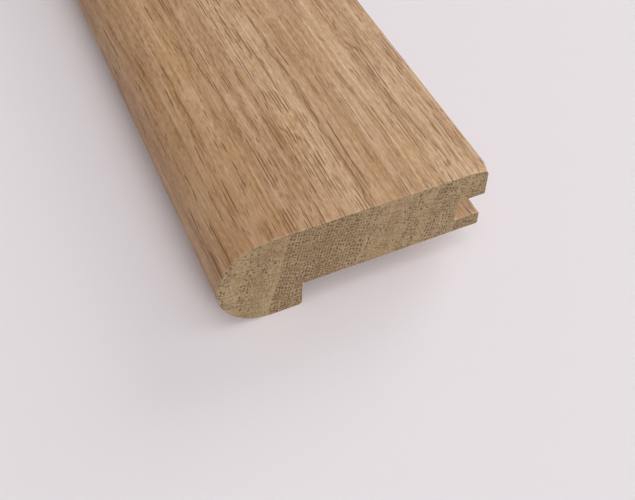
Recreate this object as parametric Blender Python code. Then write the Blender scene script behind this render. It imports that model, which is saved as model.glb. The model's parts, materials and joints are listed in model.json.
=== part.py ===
"""Flush stair nosing / threshold strip: one solid, unfinished white oak moulding.

The strip edges a 3/4 in (19 mm) tongue-and-groove floor. Its top lies level with the
floor, its round nose hangs over the step, and the groove in its back edge takes the
tongue of the first floor board. It is milled from a single length of 5/4 oak, so the
whole part is one solid.

Frame: +X along the strip, +Y from the nose towards the floor, +Z up. The origin is
at the middle of the length and width, level with the underside of the nose.
"""

from math import cos, pi, sin

import bmesh
import bpy

INCH = 0.0254
MM = 0.001

# Driving sizes.
LENGTH = 36 * INCH
WIDTH = 2.75 * INCH
BOARD_THICKNESS = 0.75 * INCH
NOSE_HEIGHT = (1 + 1 / 16) * INCH
NOSE_FOOT = 21.3 * MM

# Groove in the back edge, for a 1/4 in tongue.
TOP_LIP_HEIGHT = 8.5 * MM
GROOVE_HEIGHT = 6.6 * MM
GROOVE_DEPTH = 7.6 * MM
LOWER_LIP_SETBACK = 0.65 * MM

# Eased corners, each measured along both of the faces that it cuts.
FOOT_EASE = 0.9 * MM
TOP_BACK_EASE = 0.25 * MM
LOWER_LIP_EASE = 0.4 * MM

NOSE_SEGMENTS = 32
SMOOTH_ANGLE = pi / 6

OAK_COLOUR = (0.47, 0.30, 0.18, 1.0)
OAK_ROUGHNESS = 0.62

# Heights and positions that follow from the driving sizes.
NOSE_RADIUS = NOSE_HEIGHT / 2
NOSE_FRONT = -WIDTH / 2
BACK = WIDTH / 2
FOOT_BACK = NOSE_FRONT + NOSE_FOOT
UNDERSIDE = NOSE_HEIGHT - BOARD_THICKNESS
GROOVE_TOP = NOSE_HEIGHT - TOP_LIP_HEIGHT
GROOVE_FLOOR = GROOVE_TOP - GROOVE_HEIGHT
GROOVE_ROOT = BACK - GROOVE_DEPTH
LOWER_LIP_TIP = BACK - LOWER_LIP_SETBACK


def clear_scene():
    """Remove every object that the file starts with."""
    for leftover in list(bpy.data.objects):
        bpy.data.objects.remove(leftover, do_unlink=True)


def nose_arc():
    """Points (y, z) round the half-round nose, from its bottom up to the top face."""
    centre_y = NOSE_FRONT + NOSE_RADIUS
    centre_z = NOSE_RADIUS
    points = []
    for step in range(NOSE_SEGMENTS + 1):
        angle = pi * step / NOSE_SEGMENTS
        y = centre_y - NOSE_RADIUS * sin(angle)
        z = centre_z - NOSE_RADIUS * cos(angle)
        points.append((y, z))
    return points


def section_outline():
    """The strip's cross-section as (y, z) points, clockwise when seen from +X."""
    outline = nose_arc()
    # Top face, eased back edge and top lip.
    outline.append((BACK - TOP_BACK_EASE, NOSE_HEIGHT))
    outline.append((BACK, NOSE_HEIGHT - TOP_BACK_EASE))
    outline.append((BACK, GROOVE_TOP))
    # Groove.
    outline.append((GROOVE_ROOT, GROOVE_TOP))
    outline.append((GROOVE_ROOT, GROOVE_FLOOR))
    # Lower lip.
    outline.append((LOWER_LIP_TIP, GROOVE_FLOOR))
    outline.append((LOWER_LIP_TIP, UNDERSIDE + LOWER_LIP_EASE))
    outline.append((LOWER_LIP_TIP - LOWER_LIP_EASE, UNDERSIDE))
    # Underside, back of the nose and its eased foot.
    outline.append((FOOT_BACK, UNDERSIDE))
    outline.append((FOOT_BACK, FOOT_EASE))
    outline.append((FOOT_BACK - FOOT_EASE, 0.0))
    return outline


def oak_material():
    """Plain oak: a tan, dull, non-metallic surface."""
    material = bpy.data.materials.new("unfinished_white_oak")
    material.use_nodes = True
    shader = material.node_tree.nodes["Principled BSDF"]
    shader.inputs["Base Color"].default_value = OAK_COLOUR
    shader.inputs["Roughness"].default_value = OAK_ROUGHNESS
    shader.inputs["Metallic"].default_value = 0.0
    return material


def build_nosing_strip():
    """Extrude the cross-section along the strip's length."""
    sheet = bmesh.new()
    corners = [sheet.verts.new((-LENGTH / 2, y, z)) for y, z in section_outline()]
    end_face = sheet.faces.new(corners)
    extrusion = bmesh.ops.extrude_face_region(sheet, geom=[end_face])
    far_corners = [item for item in extrusion["geom"] if isinstance(item, bmesh.types.BMVert)]
    bmesh.ops.translate(sheet, verts=far_corners, vec=(LENGTH, 0.0, 0.0))
    bmesh.ops.recalc_face_normals(sheet, faces=sheet.faces[:])

    mesh = bpy.data.meshes.new("nosing_strip")
    sheet.to_mesh(mesh)
    sheet.free()
    mesh.shade_smooth()
    mesh.set_sharp_from_angle(angle=SMOOTH_ANGLE)
    mesh.materials.append(oak_material())

    strip = bpy.data.objects.new("nosing_strip", mesh)
    bpy.context.scene.collection.objects.link(strip)
    return strip


def main():
    clear_scene()
    build_nosing_strip()


main()
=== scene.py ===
"""Looks for the oak threshold strip: a detailed strip, its wood, a pale floor, soft light, a camera."""

import json
from collections import namedtuple
from math import acos, cos, pi, radians, sin, tan

import bmesh
import bpy
from mathutils import Matrix, Vector, noise


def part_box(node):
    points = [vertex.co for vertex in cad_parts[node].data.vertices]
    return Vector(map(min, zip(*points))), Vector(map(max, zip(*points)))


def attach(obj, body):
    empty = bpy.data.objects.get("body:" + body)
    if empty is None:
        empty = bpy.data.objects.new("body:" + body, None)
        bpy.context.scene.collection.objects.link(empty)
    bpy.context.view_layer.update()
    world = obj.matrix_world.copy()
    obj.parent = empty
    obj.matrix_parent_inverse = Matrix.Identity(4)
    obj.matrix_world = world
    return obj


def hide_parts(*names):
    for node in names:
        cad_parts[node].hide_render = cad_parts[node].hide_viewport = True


MM = 0.001

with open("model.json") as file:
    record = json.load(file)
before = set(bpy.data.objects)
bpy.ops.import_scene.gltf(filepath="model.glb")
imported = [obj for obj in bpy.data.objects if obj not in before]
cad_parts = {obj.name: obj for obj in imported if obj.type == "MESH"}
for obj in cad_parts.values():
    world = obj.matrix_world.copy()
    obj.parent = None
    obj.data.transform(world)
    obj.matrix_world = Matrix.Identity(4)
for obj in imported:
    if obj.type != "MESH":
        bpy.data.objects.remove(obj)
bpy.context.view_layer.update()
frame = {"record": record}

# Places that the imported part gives.
low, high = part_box("nosing_strip")
MOUNTS = {mount["name"]: Vector(mount["pos_m"]) for mount in frame["record"]["mounts"]}
NOSE_FRONT = low[1]
BACK = high[1]
TOP = high[2]
FLOOR = low[2]
END = high[0]
FAR_END = low[0]
UNDERSIDE = MOUNTS["underside"].z
FOOT_BACK = MOUNTS["nose_back"].y
GROOVE_ROOT = MOUNTS["groove_root"].y

# The groove's two sides and the lower lip, as in the part.
GROOVE_TOP = TOP - 8.5 * MM
GROOVE_FLOOR = GROOVE_TOP - 6.6 * MM
LOWER_LIP_TIP = BACK - 0.65 * MM

# Radii of the section's corners, and how many segments round them off.
NOSE_RADIUS = (TOP - FLOOR) / 2
BACK_ARRIS = 0.2 * MM
GROOVE_ARRIS = 0.25 * MM
LOWER_LIP_ARRIS = 0.45 * MM
FOOT_ARRIS = 1.0 * MM
NOSE_SEGMENTS = 40
ARRIS_SEGMENTS = 5

# The inner face of the nose leans forward by this much at its foot.
FOOT_DRAFT = 0.3 * MM
# Points of the outline that are closer together than this are one point.
SAME_PLACE = 0.001 * MM
# A sawn end's outline is smaller by this much all round, and it shrinks over the same distance.
END_ARRIS = 0.06 * MM
# The strip has this many even stretches from end to end.
STRETCHES = 48
# Edges that turn by more than this many degrees stay sharp.
SHARP_ANGLE = 35.0

# The near end's top back corner is broken off: how far the break reaches along the strip and across its
# top, how deep it is at the corner, and how far down the back edge its slope ends.
BROKEN_ALONG = 2.6 * MM
BROKEN_ACROSS = 4.8 * MM
BROKEN_DEPTH = 0.8 * MM
BROKEN_LIMIT = 1.6 * MM
# The break moves inwards by this share of its depth, and its depth varies by this share, with this many
# lumps to the metre.
BROKEN_INWARDS = 0.5
BROKEN_VARIATION = 0.25
BROKEN_LUMPS = 900
# Steps of the mesh over the break, which start a little outside it.
BROKEN_STEPS = 11
BROKEN_MARGIN = 1.1
# Only the top face and its back arris break. The slack is for rounding.
BROKEN_LOWEST = TOP - 1.01 * BACK_ARRIS

# Camera: it looks past the sawn end at the top face. All angles are in degrees.
CAMERA_AZIMUTH = 66.14
CAMERA_ELEVATION = 50.11
CAMERA_DISTANCE = 207.6 * MM
CAMERA_AIM = Vector((END + 6.5 * MM, NOSE_FRONT + 22.3 * MM, TOP))
CAMERA_LENS = 53.46
CAMERA_SENSOR = 36.0
CAMERA_CLIP_START = 10 * MM

# Studio light, from suns as wide as softboxes: name, azimuth from +X towards +Y, elevation, strength and
# colour.
NEUTRAL = (1.0, 1.0, 1.0)
WARM = (1.0, 0.9, 0.86)
SOFTBOXES = (
    ("overhead", 0, 85, 0.36, NEUTRAL),
    ("front_high", 0, 52, 0.37, NEUTRAL),
    ("front_low", 0, 30, 1.48, NEUTRAL),
    ("front_left", -60, 52, 0.06, WARM),
    ("back_right", 120, 28, 0.84, NEUTRAL),
)
# Each sun's width in the sky. Its light is the same from any distance, so that only places its marker.
SOFTBOX_SPREAD = 31.0
SOFTBOX_DISTANCE = 3.0

# A square lamp close to the sawn end, in metres and watts.
LAMP_AZIMUTH = 60
LAMP_ELEVATION = 60
LAMP_DISTANCE = 0.9
LAMP_SIZE = 0.5
LAMP_POWER = 1.2

# The room's tones by height: 0 at the horizon, 1 overhead.
HORIZON_TONE = (0.74, 0.71, 0.72)
SKY_TONE = (0.30, 0.278, 0.268)
ROOM_TONES = ((0.0, HORIZON_TONE), (0.06, HORIZON_TONE), (0.25, SKY_TONE), (1.0, SKY_TONE))

FLOOR_REACH = 20.0
FLOOR_COLOUR = (0.767, 0.737, 0.772)
FLOOR_ROUGHNESS = 0.75

# Wood, in millimetres. Growth rings stand nearly upright in the section and lean back as they rise.
RING_LEAN = 0.24
# The rings start to drift sideways this far from the near end, and drift fully from the second place on.
DRIFT_START = 20.0
DRIFT_FULL = 160.0
# How squarely a surface faces along the strip where it starts to count as a sawn end, and fully does.
END_GRAIN_FACING = (0.5, 0.8)

# Noise. Cycles are per millimetre, along three axes: along the strip, across its growth rings and along
# a ring. A swing moves from about -reach to +reach. Patches rise from 0 to 1 as the noise does from start
# to end.
Swing = namedtuple("Swing", "cycles reach detail")
Patches = namedtuple("Patches", "cycles start end detail")

# Waves of the rings themselves. Their axes are the strip's own: along it, across it and up.
RING_DRIFT = Swing((0.0035, 0.012, 0.012), reach=5.0, detail=2.0)
RING_WAVER = Swing((0.018, 0.1, 0.1), reach=0.8, detail=2.0)
RING_RIPPLE = Swing((0.04, 0.15, 0.15), reach=0.2, detail=2.0)
HEIGHT_WAVER = Swing((0.022, 0.12, 0.12), reach=1.4, detail=2.0)

# Waves of the pores' tubes within the rings.
PORES_SIDEWAYS = Swing((0.03, 0.3, 0.3), reach=0.3, detail=1.0)
PORES_UPWARDS = Swing((0.065, 0.25, 0.25), reach=1.5, detail=1.0)

# Streaks follow the rings: narrow across them, and long both along the ring and along the strip.
STREAKS = (
    Swing((0.008, 0.5, 0.02), reach=0.36, detail=1.0),
    Swing((0.018, 1.2, 0.06), reach=0.42, detail=1.0),
    Swing((0.060, 2.4, 0.25), reach=0.36, detail=1.0),
    Swing((0.500, 3.2, 3.20), reach=0.50, detail=1.0),
)
END_SPECKLE = Swing((0.3, 2.0, 2.0), reach=0.9, detail=2.0)
SURFACE_RELIEF = Swing((0.08, 3.0, 3.0), reach=0.25, detail=3.0)

PALE_BANDS = Patches((0.006, 0.12, 0.02), start=0.3, end=0.7, detail=3.0)
GOLDEN_PATCHES = Patches((0.03, 0.3, 0.1), start=0.45, end=0.7, detail=2.0)
PORE_CLUMPS = Patches((0.05, 0.3, 0.3), start=0.42, end=0.66, detail=2.0)
# Rays are thin sheets across the rings.
RAYS = Patches((0.09, 0.06, 1.3), start=0.59, end=0.68, detail=1.0)
# Where loose fibres at a sawn end's arrises show pale, partly as a painted highlight.
LOOSE_FIBRES_AND_GLINTS = Patches((1.5, 2.2, 2.2), start=0.4, end=0.65, detail=2.0)

# Pores: pitch across the rings and along a ring, radius on a sawn end, and radius that shows where a
# face cuts along them.
Pores = namedtuple("Pores", "pitch ring_pitch end_radius face_radius")
WIDE_PORES = Pores(pitch=0.82, ring_pitch=1.1, end_radius=0.215, face_radius=0.125)
FINE_PORES = Pores(pitch=0.5, ring_pitch=0.6, end_radius=0.095, face_radius=0.08)
FINE_PORE_DEPTH = 0.85
# How irregularly the pores stand, their smallest and largest size for their kind, how far outside and
# inside the rim a pore's edge fades, and how gradually pores thin out where the wood has fewer.
PORE_RANDOMNESS = 0.3
PORE_SIZES = (0.7, 1.3)
PORE_EDGE = (-0.05, 0.03)
PORE_THINNING = 0.06
# The share of wide pores outside the bands, and of fine pores outside their clumps.
STRAY_WIDE_PORES = 0.08
STRAY_FINE_PORES = 0.15
# Where a ray crosses the pores, it hides this share of them.
RAY_COVER = 0.6

# Bands of wide pores: first and last place behind the nose's front, and how full they are. Their edges
# fade over the softness on either side.
PORE_BANDS = (
    (-9.0, -6.0, 0.8),
    (-3.0, 0.5, 0.5),
    (1.5, 5.6, 0.5),
    (8.8, 12.6, 0.45),
    (14.0, 15.6, 0.2),
    (18.6, 40.0, 0.95),
    (40.8, 42.0, 1.0),
    (49.6, 54.4, 0.5),
    (57.0, 64.4, 0.65),
    (66.0, 72.0, 0.6),
    (74.0, 78.0, 0.5),
)
BAND_SOFTNESS = 0.4

# Tone of the planed faces: place behind the nose's front, and how much paler or darker it is. The dark
# stops up to 17 mm also hold painted shade on the nose's round, on its side away from the light; the
# other stops are the wood's own tone across its rings. The span is a little more than the strip's width.
FACE_SPAN = 72.0
FACE_TONES_AND_NOSE_SHADE = (
    (0.0, -0.15),
    (8.0, -0.20),
    (13.0, -0.12),
    (17.0, -0.22),
    (22.0, 0.05),
    (26.0, -0.10),
    (30.0, 0.30),
    (36.0, 0.32),
    (40.0, -0.06),
    (47.0, -0.08),
    (51.0, 0.0),
    (58.0, 0.10),
    (69.0, 0.30),
)

PALE_TAN = (0.50, 0.322, 0.184)
DEEP_TAN = (0.425, 0.258, 0.141)
GOLD_TAN = (0.495, 0.298, 0.133)
EARLYWOOD_BROWN = (0.38, 0.222, 0.115)
GROOVE_BROWN = (0.19, 0.086, 0.029)
HOLE_BROWN = (0.102, 0.056, 0.023)
FLECK_TAN = (0.58, 0.39, 0.245)
RAY_BROWN = (0.18, 0.11, 0.055)
# Pale tan of the arrises' loose fibres, partly a painted highlight.
ARRIS_HIGHLIGHT_TAN = (0.66, 0.45, 0.26)
END_GRAIN_TINT = (0.635, 0.715, 0.675)

# How strongly each marking shows. A pair is for the planed faces first and then for the sawn ends.
GOLD_STRENGTH = 0.4
EARLYWOOD_STRENGTH = 0.3
CLUMP_SHADE = -0.1
STREAK_STRENGTH = (1.0, 0.4)
RAY_STRENGTH = (0.25, 0.55)
PORE_STRENGTH = (0.85, 0.95)
# Strength of the loose fibres' pale tan, partly a painted highlight.
FIBRE_HIGHLIGHT_STRENGTH = 0.5
# Loose fibres along an arris, pale and with a painted highlight where they catch the light: their distance
# from the sawn end where they start, and where they are full.
FIBRE_HIGHLIGHT_REACH = (0.6, 0.1)
# How much of a shade each of red, green and blue takes, so that what is darker is also browner.
SHADE_BY_CHANNEL = (0.7, 1.0, 1.45)

OAK_ROUGHNESS = 0.58
PORE_ROUGHNESS = 0.78
RELIEF_HEIGHT = 0.1 * MM
RELIEF_STRENGTH = 0.8


# ---------------------------------------------------------------- shader building

class Nodes:
    """Short calls that add nodes to a tree and link them."""

    def __init__(self, tree):
        self.tree = tree

    def add(self, kind, **settings):
        node = self.tree.nodes.new(kind)
        for name, setting in settings.items():
            setattr(node, name, setting)
        return node

    def link(self, source, target):
        """Feed a socket from another socket, a number or a colour."""
        if isinstance(source, bpy.types.NodeSocket):
            self.tree.links.new(source, target)
        elif isinstance(source, tuple) and target.type == "RGBA":
            target.default_value = (*source, 1.0)
        else:
            target.default_value = source

    def math(self, operation, *values):
        node = self.add("ShaderNodeMath", operation=operation)
        for source, target in zip(values, node.inputs):
            self.link(source, target)
        return node.outputs[0]

    def between(self, share, first, second):
        """The number that lies a share of the way from the first number to the second."""
        return self.math("MULTIPLY_ADD", share, second - first, first)

    def scaled(self, vector, factors):
        node = self.add("ShaderNodeVectorMath", operation="MULTIPLY")
        self.link(vector, node.inputs[0])
        node.inputs[1].default_value = factors
        return node.outputs[0]

    def part(self, vector, axis):
        node = self.add("ShaderNodeSeparateXYZ")
        self.link(vector, node.inputs[0])
        return node.outputs[axis]

    def vector(self, x, y, z):
        node = self.add("ShaderNodeCombineXYZ")
        for source, target in zip((x, y, z), node.inputs):
            self.link(source, target)
        return node.outputs[0]

    def noise(self, vector, cycles, detail):
        """Noise from about 0 to 1, centred on 0.5."""
        node = self.add("ShaderNodeTexNoise")
        self.link(self.scaled(vector, cycles), node.inputs["Vector"])
        node.inputs["Scale"].default_value = 1.0
        node.inputs["Detail"].default_value = detail
        return node.outputs["Fac"]

    def swing(self, vector, swing):
        centred = self.math("SUBTRACT", self.noise(vector, swing.cycles, swing.detail), 0.5)
        return self.math("MULTIPLY", centred, swing.reach * 2)

    def patches(self, vector, patches):
        return self.step(self.noise(vector, patches.cycles, patches.detail), patches.start, patches.end)

    def step(self, value, start, end):
        """A smooth change from 0 at start to 1 at end. Either of them can be the larger."""
        node = self.add("ShaderNodeMapRange", interpolation_type="SMOOTHSTEP")
        self.link(value, node.inputs["Value"])
        if start < end:
            limits = (start, end, 0.0, 1.0)
        else:
            limits = (end, start, 1.0, 0.0)
        for limit, target in zip(limits, node.inputs[1:5]):
            target.default_value = limit
        return node.outputs[0]

    def mix(self, factor, first, second, blend="MIX"):
        """Mix two colours, which are sockets 6 and 7 of the node and come out of its socket 2."""
        node = self.add("ShaderNodeMix", data_type="RGBA", blend_type=blend)
        self.link(factor, node.inputs[0])
        self.link(first, node.inputs[6])
        self.link(second, node.inputs[7])
        return node.outputs[2]

    def shade(self, colour, amount):
        """Multiply a colour by about 1 + amount."""
        gain = self.add("ShaderNodeVectorMath", operation="MULTIPLY_ADD")
        self.link(amount, gain.inputs[0])
        gain.inputs[1].default_value = SHADE_BY_CHANNEL
        gain.inputs[2].default_value = (1.0, 1.0, 1.0)
        node = self.add("ShaderNodeVectorMath", operation="MULTIPLY")
        self.link(colour, node.inputs[0])
        self.link(gain.outputs[0], node.inputs[1])
        return node.outputs[0]

    def ramp(self, value, stops):
        """A colour ramp. Each stop is a position and a grey or a colour."""
        node = self.add("ShaderNodeValToRGB")
        elements = node.color_ramp.elements
        while len(elements) < len(stops):
            elements.new(1.0)
        for element, (position, tone) in zip(elements, stops):
            element.position = position
            element.color = (*tone, 1.0) if isinstance(tone, tuple) else (tone, tone, tone, 1.0)
        self.link(value, node.inputs[0])
        return node.outputs[0]


# ---------------------------------------------------------------- wood

# A point's place in the grain, in millimetres: x along the strip, radial across the growth rings from
# the nose's front, tangential along a ring from the top face. Points holds all three as one vector.
# End_grain is 1 on a sawn end and 0 on the planed faces, and lengthwise is the other way round.
Grain = namedtuple("Grain", "x radial tangential points end_grain lengthwise")


def grain_coordinates(nodes):
    coordinates = nodes.add("ShaderNodeTexCoord")
    place = nodes.scaled(coordinates.outputs["Object"], (1 / MM, 1 / MM, 1 / MM))
    x = nodes.part(place, "X")
    from_nose = nodes.math("SUBTRACT", nodes.part(place, "Y"), NOSE_FRONT / MM)
    from_top = nodes.math("SUBTRACT", nodes.part(place, "Z"), TOP / MM)

    away = nodes.step(x, END / MM - DRIFT_START, END / MM - DRIFT_FULL)
    sideways = nodes.math("MULTIPLY", nodes.swing(place, RING_DRIFT), away)
    sideways = nodes.math("ADD", nodes.swing(place, RING_WAVER), sideways)
    sideways = nodes.math("ADD", nodes.swing(place, RING_RIPPLE), sideways)
    lean = nodes.math("MULTIPLY", from_top, -RING_LEAN)
    radial = nodes.math("ADD", nodes.math("ADD", from_nose, lean), sideways)
    tangential = nodes.math("ADD", from_top, nodes.math("MULTIPLY", from_nose, RING_LEAN))
    tangential = nodes.math("ADD", tangential, nodes.swing(place, HEIGHT_WAVER))
    points = nodes.vector(x, radial, tangential)

    facing = nodes.math("ABSOLUTE", nodes.part(coordinates.outputs["Normal"], "X"))
    end_grain = nodes.step(facing, *END_GRAIN_FACING)
    lengthwise = nodes.math("SUBTRACT", 1.0, end_grain)
    return Grain(x, radial, tangential, points, end_grain, lengthwise)


def earlywood_share(nodes, grain):
    """How full of wide pores the wood is, from 0 to 1, by where it lies across the growth rings."""
    share = 0.0
    for start, end, fullness in PORE_BANDS:
        rise = nodes.step(grain.radial, start - BAND_SOFTNESS, start + BAND_SOFTNESS)
        fall = nodes.step(grain.radial, end + BAND_SOFTNESS, end - BAND_SOFTNESS)
        band = nodes.math("MULTIPLY", nodes.math("MULTIPLY", rise, fall), fullness)
        share = nodes.math("MAXIMUM", band, share)
    return share


def open_pores(nodes, grain, kind, fullness):
    """Tubes along the strip: round holes on a sawn end, and short grooves where a face cuts into them."""
    sideways = nodes.swing(grain.points, PORES_SIDEWAYS)
    upwards = nodes.swing(grain.points, PORES_UPWARDS)
    across = nodes.math("DIVIDE", nodes.math("ADD", grain.radial, sideways), kind.pitch)
    along = nodes.math("DIVIDE", nodes.math("ADD", grain.tangential, upwards), kind.ring_pitch)
    tubes = nodes.add("ShaderNodeTexVoronoi", voronoi_dimensions="2D")
    nodes.link(nodes.vector(across, along, 0.0), tubes.inputs["Vector"])
    tubes.inputs["Scale"].default_value = 1.0
    tubes.inputs["Randomness"].default_value = PORE_RANDOMNESS

    # Each tube has a colour of its own, and the parts of that colour are its chances.
    chance = nodes.part(tubes.outputs["Color"], "X")
    present = nodes.step(nodes.math("SUBTRACT", fullness, chance), 0.0, PORE_THINNING)
    typical = nodes.between(grain.end_grain, kind.face_radius, kind.end_radius)
    size = nodes.between(nodes.part(tubes.outputs["Color"], "Y"), *PORE_SIZES)
    width = nodes.math("MULTIPLY", typical, size)
    from_rim = nodes.math("SUBTRACT", width, nodes.math("MULTIPLY", tubes.outputs["Distance"], kind.pitch))
    return nodes.math("MULTIPLY", nodes.step(from_rim, *PORE_EDGE), present)


def all_pores(nodes, grain, earlywood, clumps, rays):
    """Wide pores in the earlywood and fine ones in clumps, both hidden in part by the rays."""
    wide_fullness = nodes.math("ADD", earlywood, STRAY_WIDE_PORES)
    wide_pores = open_pores(nodes, grain, WIDE_PORES, wide_fullness)
    fine_fullness = nodes.between(clumps, STRAY_FINE_PORES, 1.0)
    fine_pores = open_pores(nodes, grain, FINE_PORES, fine_fullness)
    pores = nodes.math("MAXIMUM", wide_pores, nodes.math("MULTIPLY", fine_pores, FINE_PORE_DEPTH))
    return nodes.math("MULTIPLY", pores, nodes.between(rays, 1.0, 1.0 - RAY_COVER))


def tan_wood(nodes, grain, earlywood):
    """The wood's own colour, before its pores and rays."""
    colour = nodes.mix(nodes.patches(grain.points, PALE_BANDS), DEEP_TAN, PALE_TAN)
    golden = nodes.math("MULTIPLY", nodes.patches(grain.points, GOLDEN_PATCHES), GOLD_STRENGTH)
    colour = nodes.mix(golden, colour, GOLD_TAN)
    colour = nodes.mix(nodes.math("MULTIPLY", earlywood, EARLYWOOD_STRENGTH), colour, EARLYWOOD_BROWN)
    streaks = 0.0
    for layer in STREAKS:
        streaks = nodes.math("ADD", nodes.swing(grain.points, layer), streaks)
    strength = nodes.between(grain.end_grain, *STREAK_STRENGTH)
    colour = nodes.shade(colour, nodes.math("MULTIPLY", streaks, strength))
    speckle = nodes.math("MULTIPLY", nodes.swing(grain.points, END_SPECKLE), grain.end_grain)
    return nodes.shade(colour, speckle)


def face_tone_and_nose_shade(nodes, grain):
    """How much paler or darker the planed faces are, by place across the growth rings: the wood's own
    tone, and painted shade on the nose's round.
    """
    place = nodes.math("DIVIDE", grain.radial, FACE_SPAN)
    greys = nodes.ramp(place, [(start / FACE_SPAN, 0.5 + tone) for start, tone in FACE_TONES_AND_NOSE_SHADE])
    return nodes.math("MULTIPLY", nodes.math("SUBTRACT", greys, 0.5), grain.lengthwise)


def loose_fibres_and_highlight(nodes, grain):
    """Fibres stand up along the arris of a sawn end and catch the light: a pale tan that is partly a
    painted highlight.
    """
    from_end = nodes.math("SUBTRACT", END / MM, nodes.math("ABSOLUTE", grain.x))
    close = nodes.step(from_end, *FIBRE_HIGHLIGHT_REACH)
    fibre_highlights = nodes.math("MULTIPLY", close, nodes.patches(grain.points, LOOSE_FIBRES_AND_GLINTS))
    return nodes.math("MULTIPLY", nodes.math("MULTIPLY", fibre_highlights, grain.lengthwise), FIBRE_HIGHLIGHT_STRENGTH)


def oak_colour(nodes, grain, earlywood, clumps, rays, pores):
    colour = tan_wood(nodes, grain, earlywood)
    colour = nodes.shade(colour, nodes.math("MULTIPLY", clumps, CLUMP_SHADE))
    # The faces' own tone across the rings, with painted shade on the nose's round.
    colour = nodes.shade(colour, face_tone_and_nose_shade(nodes, grain))
    colour = nodes.mix(grain.end_grain, colour, nodes.mix(1.0, colour, END_GRAIN_TINT, "MULTIPLY"))
    # Rays are faint pale flecks on the faces, and dark lines on a sawn end.
    ray_strength = nodes.math("MULTIPLY", rays, nodes.between(grain.end_grain, *RAY_STRENGTH))
    colour = nodes.mix(ray_strength, colour, nodes.mix(grain.end_grain, FLECK_TAN, RAY_BROWN))
    pore_strength = nodes.math("MULTIPLY", pores, nodes.between(grain.end_grain, *PORE_STRENGTH))
    colour = nodes.mix(pore_strength, colour, nodes.mix(grain.end_grain, GROOVE_BROWN, HOLE_BROWN))
    # Pale loose fibres at the arrises, with a painted highlight.
    return nodes.mix(loose_fibres_and_highlight(nodes, grain), colour, ARRIS_HIGHLIGHT_TAN)


def surface_relief(nodes, grain, pores):
    """The surface's bumps: fine fibres, with the pores sunk into them."""
    bump = nodes.add("ShaderNodeBump")
    bump.inputs["Distance"].default_value = RELIEF_HEIGHT
    bump.inputs["Strength"].default_value = RELIEF_STRENGTH
    height = nodes.math("SUBTRACT", nodes.swing(grain.points, SURFACE_RELIEF), pores)
    nodes.link(height, bump.inputs["Height"])
    return bump.outputs[0]


def oak_material():
    material = bpy.data.materials.new("white_oak")
    material.use_nodes = True
    nodes = Nodes(material.node_tree)
    shader = material.node_tree.nodes["Principled BSDF"]
    grain = grain_coordinates(nodes)
    earlywood = earlywood_share(nodes, grain)
    clumps = nodes.patches(grain.points, PORE_CLUMPS)
    rays = nodes.patches(grain.points, RAYS)
    pores = all_pores(nodes, grain, earlywood, clumps, rays)
    colour = oak_colour(nodes, grain, earlywood, clumps, rays, pores)
    nodes.link(colour, shader.inputs["Base Color"])
    nodes.link(nodes.between(pores, OAK_ROUGHNESS, PORE_ROUGHNESS), shader.inputs["Roughness"])
    nodes.link(surface_relief(nodes, grain, pores), shader.inputs["Normal"])
    return material


# ---------------------------------------------------------------- strip

def rounded_corner(before, corner, after, radius, segments):
    """Points of the arc that rounds one corner, tangent to both of its sides."""
    towards_before = (before - corner).normalized()
    towards_after = (after - corner).normalized()
    half_angle = acos(max(-1.0, min(1.0, towards_before.dot(towards_after)))) / 2
    reach = radius / tan(half_angle)
    start = corner + towards_before * reach
    end = corner + towards_after * reach
    middle = corner + (towards_before + towards_after).normalized() * (radius / sin(half_angle))
    sweep = pi - 2 * half_angle
    turn_sign = 1.0 if (start - middle).cross(end - middle) > 0 else -1.0
    points = []
    for step in range(segments + 1):
        turn = Matrix.Rotation(turn_sign * sweep * step / segments, 2)
        points.append(middle + turn @ (start - middle))
    return points


def top_face_steps():
    """Points on the top face, close to the back, that let the broken corner take its shape."""
    steps = range(BROKEN_STEPS)
    return [Vector((BACK - BROKEN_ACROSS * (BROKEN_MARGIN - step / BROKEN_STEPS), TOP)) for step in steps]


def section_outline():
    """The cross-section as (y, z) points. Every corner is rounded, as planed wood is."""
    corners = (
        (NOSE_FRONT, FLOOR, NOSE_RADIUS, NOSE_SEGMENTS),
        (NOSE_FRONT, TOP, NOSE_RADIUS, NOSE_SEGMENTS),
        (BACK, TOP, BACK_ARRIS, ARRIS_SEGMENTS),
        (BACK, GROOVE_TOP, GROOVE_ARRIS, ARRIS_SEGMENTS),
        (GROOVE_ROOT, GROOVE_TOP, GROOVE_ARRIS, ARRIS_SEGMENTS),
        (GROOVE_ROOT, GROOVE_FLOOR, GROOVE_ARRIS, ARRIS_SEGMENTS),
        (LOWER_LIP_TIP, GROOVE_FLOOR, GROOVE_ARRIS, ARRIS_SEGMENTS),
        (LOWER_LIP_TIP, UNDERSIDE, LOWER_LIP_ARRIS, ARRIS_SEGMENTS),
        (FOOT_BACK, UNDERSIDE, GROOVE_ARRIS, ARRIS_SEGMENTS),
        (FOOT_BACK - FOOT_DRAFT, FLOOR, FOOT_ARRIS, ARRIS_SEGMENTS),
    )
    places = [Vector((y, z)) for y, z, radius, segments in corners]
    outline = []
    for index, (y, z, radius, segments) in enumerate(corners):
        before = places[index - 1]
        after = places[(index + 1) % len(places)]
        if (y, z) == (BACK, TOP):
            outline += top_face_steps()
        if (y, z) == (BACK, GROOVE_TOP):
            outline.append(Vector((BACK, TOP - BROKEN_LIMIT)))
        for point in rounded_corner(before, places[index], after, radius, segments):
            # A point's y is the strip's z. Rounding could otherwise put it a hair below the floor.
            point.y = max(point.y, FLOOR)
            if not outline or (point - outline[-1]).length > SAME_PLACE:
                outline.append(point)
    return outline


def stations():
    """Places along the strip at which it has a cross-section."""
    places = [FAR_END, FAR_END + END_ARRIS]
    places += [FAR_END + (END - FAR_END) * step / STRETCHES for step in range(1, STRETCHES)]
    places += [END - BROKEN_ALONG * (BROKEN_MARGIN - step / BROKEN_STEPS) for step in range(BROKEN_STEPS)]
    places += [END - END_ARRIS, END]
    return places


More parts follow.
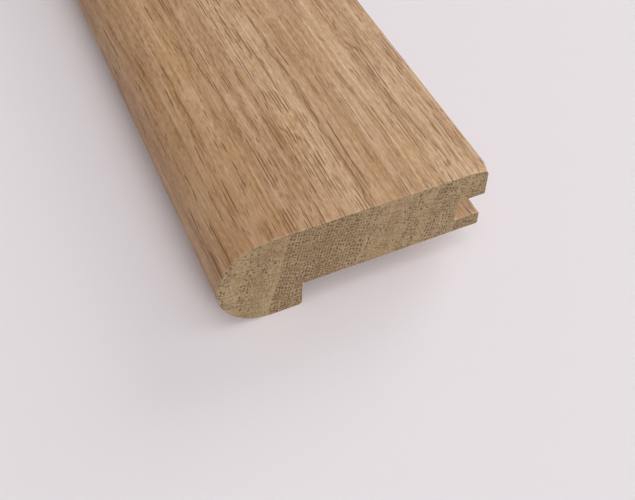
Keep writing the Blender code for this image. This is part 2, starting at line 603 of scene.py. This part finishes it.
def broken_corner(point):
    """The point moved down and inwards where the near end's top back corner is broken off."""
    wear = 1.0 - (END - point.x) / BROKEN_ALONG - (BACK - point.y) / BROKEN_ACROSS
    if wear <= 0.0 or point.z < BROKEN_LOWEST:
        return point
    ragged = 1.0 + BROKEN_VARIATION * noise.noise(point * BROKEN_LUMPS)
    drop = BROKEN_DEPTH * wear * ragged
    return point - Vector((0.0, BROKEN_INWARDS * drop, drop))


def cross_section(outline, x):
    """The strip's points at one place along it."""
    points = []
    for index, point in enumerate(outline):
        if x in (END, FAR_END):
            along = (outline[(index + 1) % len(outline)] - outline[index - 1]).normalized()
            inwards = Vector((along.y, -along.x))
            point = point + inwards * END_ARRIS
        points.append(broken_corner(Vector((x, *point))))
    return points


def strip_mesh():
    """Cross-sections joined one to the next, and closed at the two sawn ends."""
    sheet = bmesh.new()
    outline = section_outline()
    rows = [[sheet.verts.new(point) for point in cross_section(outline, x)] for x in stations()]
    for row, next_row in zip(rows, rows[1:]):
        for index in range(len(outline)):
            next_index = (index + 1) % len(outline)
            sheet.faces.new((row[index], row[next_index], next_row[next_index], next_row[index]))
    sheet.faces.new(rows[0])
    sheet.faces.new(rows[-1])
    bmesh.ops.recalc_face_normals(sheet, faces=sheet.faces[:])
    mesh = bpy.data.meshes.new("oak_strip")
    sheet.to_mesh(mesh)
    sheet.free()
    mesh.shade_smooth()
    mesh.set_sharp_from_angle(angle=radians(SHARP_ANGLE))
    return mesh


def build_strip():
    strip = bpy.data.objects.new("oak_strip", strip_mesh())
    bpy.context.scene.collection.objects.link(strip)
    weighted = strip.modifiers.new("flat_faces", "WEIGHTED_NORMAL")
    weighted.keep_sharp = True
    return strip


# ---------------------------------------------------------------- camera, floor and light

def add_camera():
    azimuth = radians(CAMERA_AZIMUTH)
    elevation = radians(CAMERA_ELEVATION)
    back = Vector((sin(azimuth) * cos(elevation), -cos(azimuth) * cos(elevation), sin(elevation)))
    right = Vector((cos(azimuth), sin(azimuth), 0.0))
    up = back.cross(right)
    data = bpy.data.cameras.new("camera")
    data.lens = CAMERA_LENS
    data.sensor_width = CAMERA_SENSOR
    data.clip_start = CAMERA_CLIP_START
    camera = bpy.data.objects.new("camera", data)
    turn = Matrix((right, up, back)).transposed().to_4x4()
    camera.matrix_world = Matrix.Translation(CAMERA_AIM + back * CAMERA_DISTANCE) @ turn
    bpy.context.scene.collection.objects.link(camera)
    bpy.context.scene.camera = camera


def hang_light(data, azimuth, elevation, distance):
    """Hang a light round the near sawn end, aimed at the floor under its middle."""
    light = bpy.data.objects.new(data.name, data)
    turn = radians(azimuth)
    rise = radians(elevation)
    direction = Vector((cos(rise) * cos(turn), cos(rise) * sin(turn), sin(rise)))
    light.location = Vector((END, 0.0, 0.0)) + direction * distance
    light.rotation_euler = direction.to_track_quat("Z", "Y").to_euler()
    bpy.context.scene.collection.objects.link(light)


def add_softboxes():
    for name, azimuth, elevation, strength, colour in SOFTBOXES:
        data = bpy.data.lights.new(name, "SUN")
        data.energy = strength
        data.color = colour
        data.angle = radians(SOFTBOX_SPREAD)
        hang_light(data, azimuth, elevation, SOFTBOX_DISTANCE)


def add_lamp():
    data = bpy.data.lights.new("high_right", "AREA")
    data.shape = "SQUARE"
    data.size = LAMP_SIZE
    data.energy = LAMP_POWER
    hang_light(data, LAMP_AZIMUTH, LAMP_ELEVATION, LAMP_DISTANCE)


def add_room():
    """A pale room: brighter round the horizon, where the floor runs into it, than overhead."""
    world = bpy.data.worlds.new("studio")
    world.use_nodes = True
    nodes = Nodes(world.node_tree)
    height = nodes.part(nodes.add("ShaderNodeTexCoord").outputs["Generated"], "Z")
    background = world.node_tree.nodes["Background"]
    nodes.link(nodes.ramp(height, ROOM_TONES), background.inputs["Color"])
    bpy.context.scene.world = world


def floor_material():
    material = bpy.data.materials.new("pale_floor")
    material.use_nodes = True
    shader = material.node_tree.nodes["Principled BSDF"]
    shader.inputs["Base Color"].default_value = (*FLOOR_COLOUR, 1.0)
    shader.inputs["Roughness"].default_value = FLOOR_ROUGHNESS
    return material


def add_floor():
    sheet = bmesh.new()
    bmesh.ops.create_grid(sheet, x_segments=1, y_segments=1, size=FLOOR_REACH)
    mesh = bpy.data.meshes.new("floor")
    sheet.to_mesh(mesh)
    sheet.free()
    mesh.materials.append(floor_material())
    floor = bpy.data.objects.new("floor", mesh)
    floor.location = (0.0, 0.0, FLOOR)
    bpy.context.scene.collection.objects.link(floor)


strip = build_strip()
strip.data.materials.append(oak_material())
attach(strip, "root")
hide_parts("nosing_strip")

add_camera()
add_floor()
add_softboxes()
add_lamp()
add_room()
bpy.context.scene.view_settings.view_transform = "Standard"
